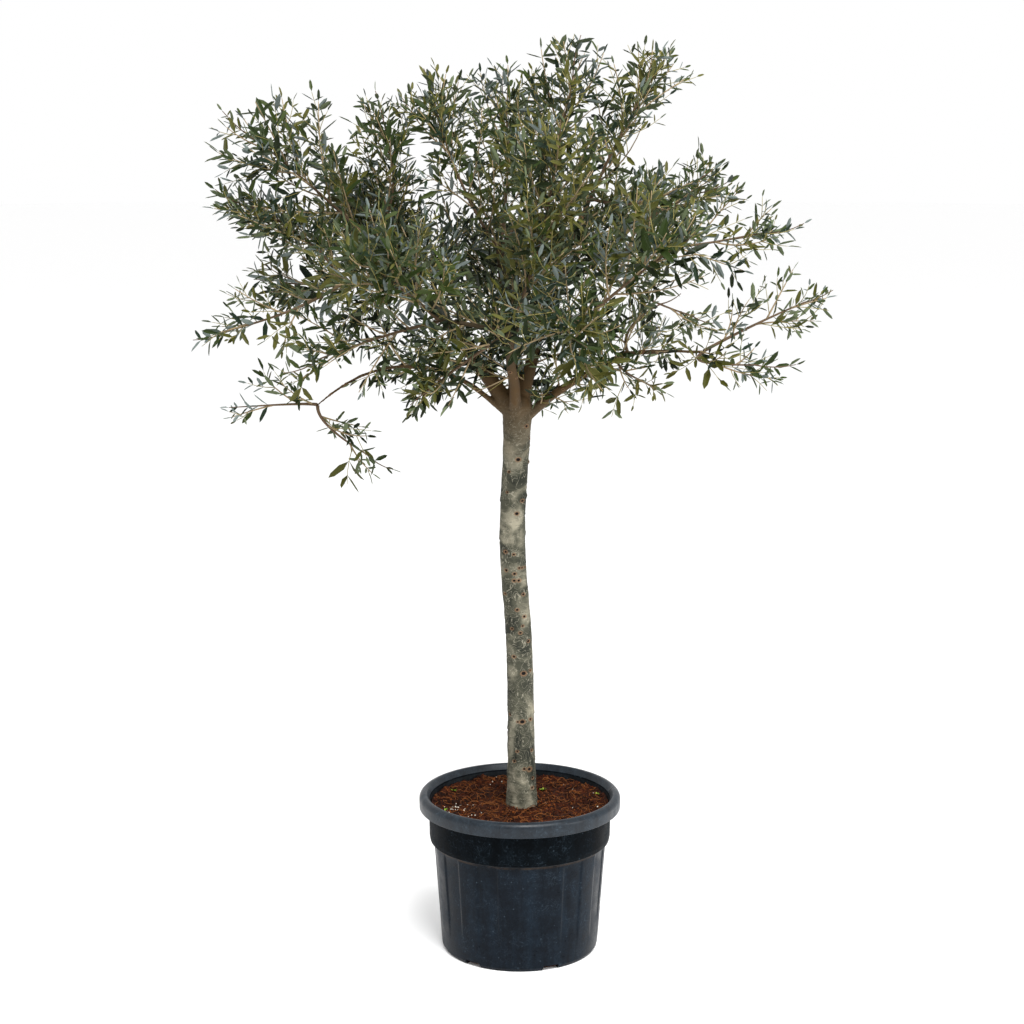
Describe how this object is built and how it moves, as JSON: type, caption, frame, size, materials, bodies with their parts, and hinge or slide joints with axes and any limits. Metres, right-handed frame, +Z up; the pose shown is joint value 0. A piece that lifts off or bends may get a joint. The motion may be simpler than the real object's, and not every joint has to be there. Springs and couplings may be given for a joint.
{
  "type": "potted olive tree",
  "caption": "Half-standard olive tree with a clear pale trunk, a vase of boughs and a loose round crown, growing in a black round nursery pot with a rolled rim.",
  "frame": {"origin": "centre of the pot's flat underside", "axes": "+Z up along the trunk, +X to the viewer's right, -Y towards the viewer of the tree's best side"},
  "size_m": [1.4213, 1.0956, 2.1185],
  "materials": {
    "pot": "moulded black polypropylene, satin, scuffed and dusty",
    "soil": "moist reddish coir compost with fibres and white grains",
    "bark": "smooth grey-green young bark",
    "foliage": "leathery leaves, grey-green above and silvery beneath"
  },
  "bodies": {
    "root": {"pot": "pot", "potting_soil": "soil", "trunk": "bark", "bough_left": "bark", "bough_right": "bark", "bough_back": "bark", "bough_leader": "bark", "bough_front": "bark", "bough_right_low": "bark", "bough_left_low": "bark", "limb_left_top": "bark", "limb_left_side": "bark", "limb_right_top": "bark", "limb_right_side": "bark", "limb_back_left": "bark", "limb_back_right": "bark", "limb_front_left": "bark", "limb_front_right": "bark", "limb_right_far": "bark", "foliage_left_top": "foliage", "foliage_left_upper": "foliage", "foliage_left_side": "foliage", "foliage_left_shoot": "foliage", "foliage_left_inner": "foliage", "foliage_left_tip": "foliage", "foliage_hanging": "foliage", "foliage_top_left": "foliage", "foliage_top": "foliage", "foliage_top_back": "foliage", "foliage_right_top": "foliage", "foliage_right_upper": "foliage", "foliage_right_side": "foliage", "foliage_right_shoot": "foliage", "foliage_right_far": "foliage", "foliage_right_low": "foliage", "foliage_right_inner": "foliage", "foliage_right_under": "foliage", "foliage_front_left": "foliage", "foliage_droop_left": "foliage", "foliage_front_top": "foliage", "foliage_front_under": "foliage", "foliage_front_right": "foliage", "foliage_front": "foliage", "foliage_back_left": "foliage", "foliage_back_left_low": "foliage", "foliage_back_right": "foliage", "foliage_back_right_low": "foliage", "foliage_back": "foliage"}
  },
  "joints": []
}
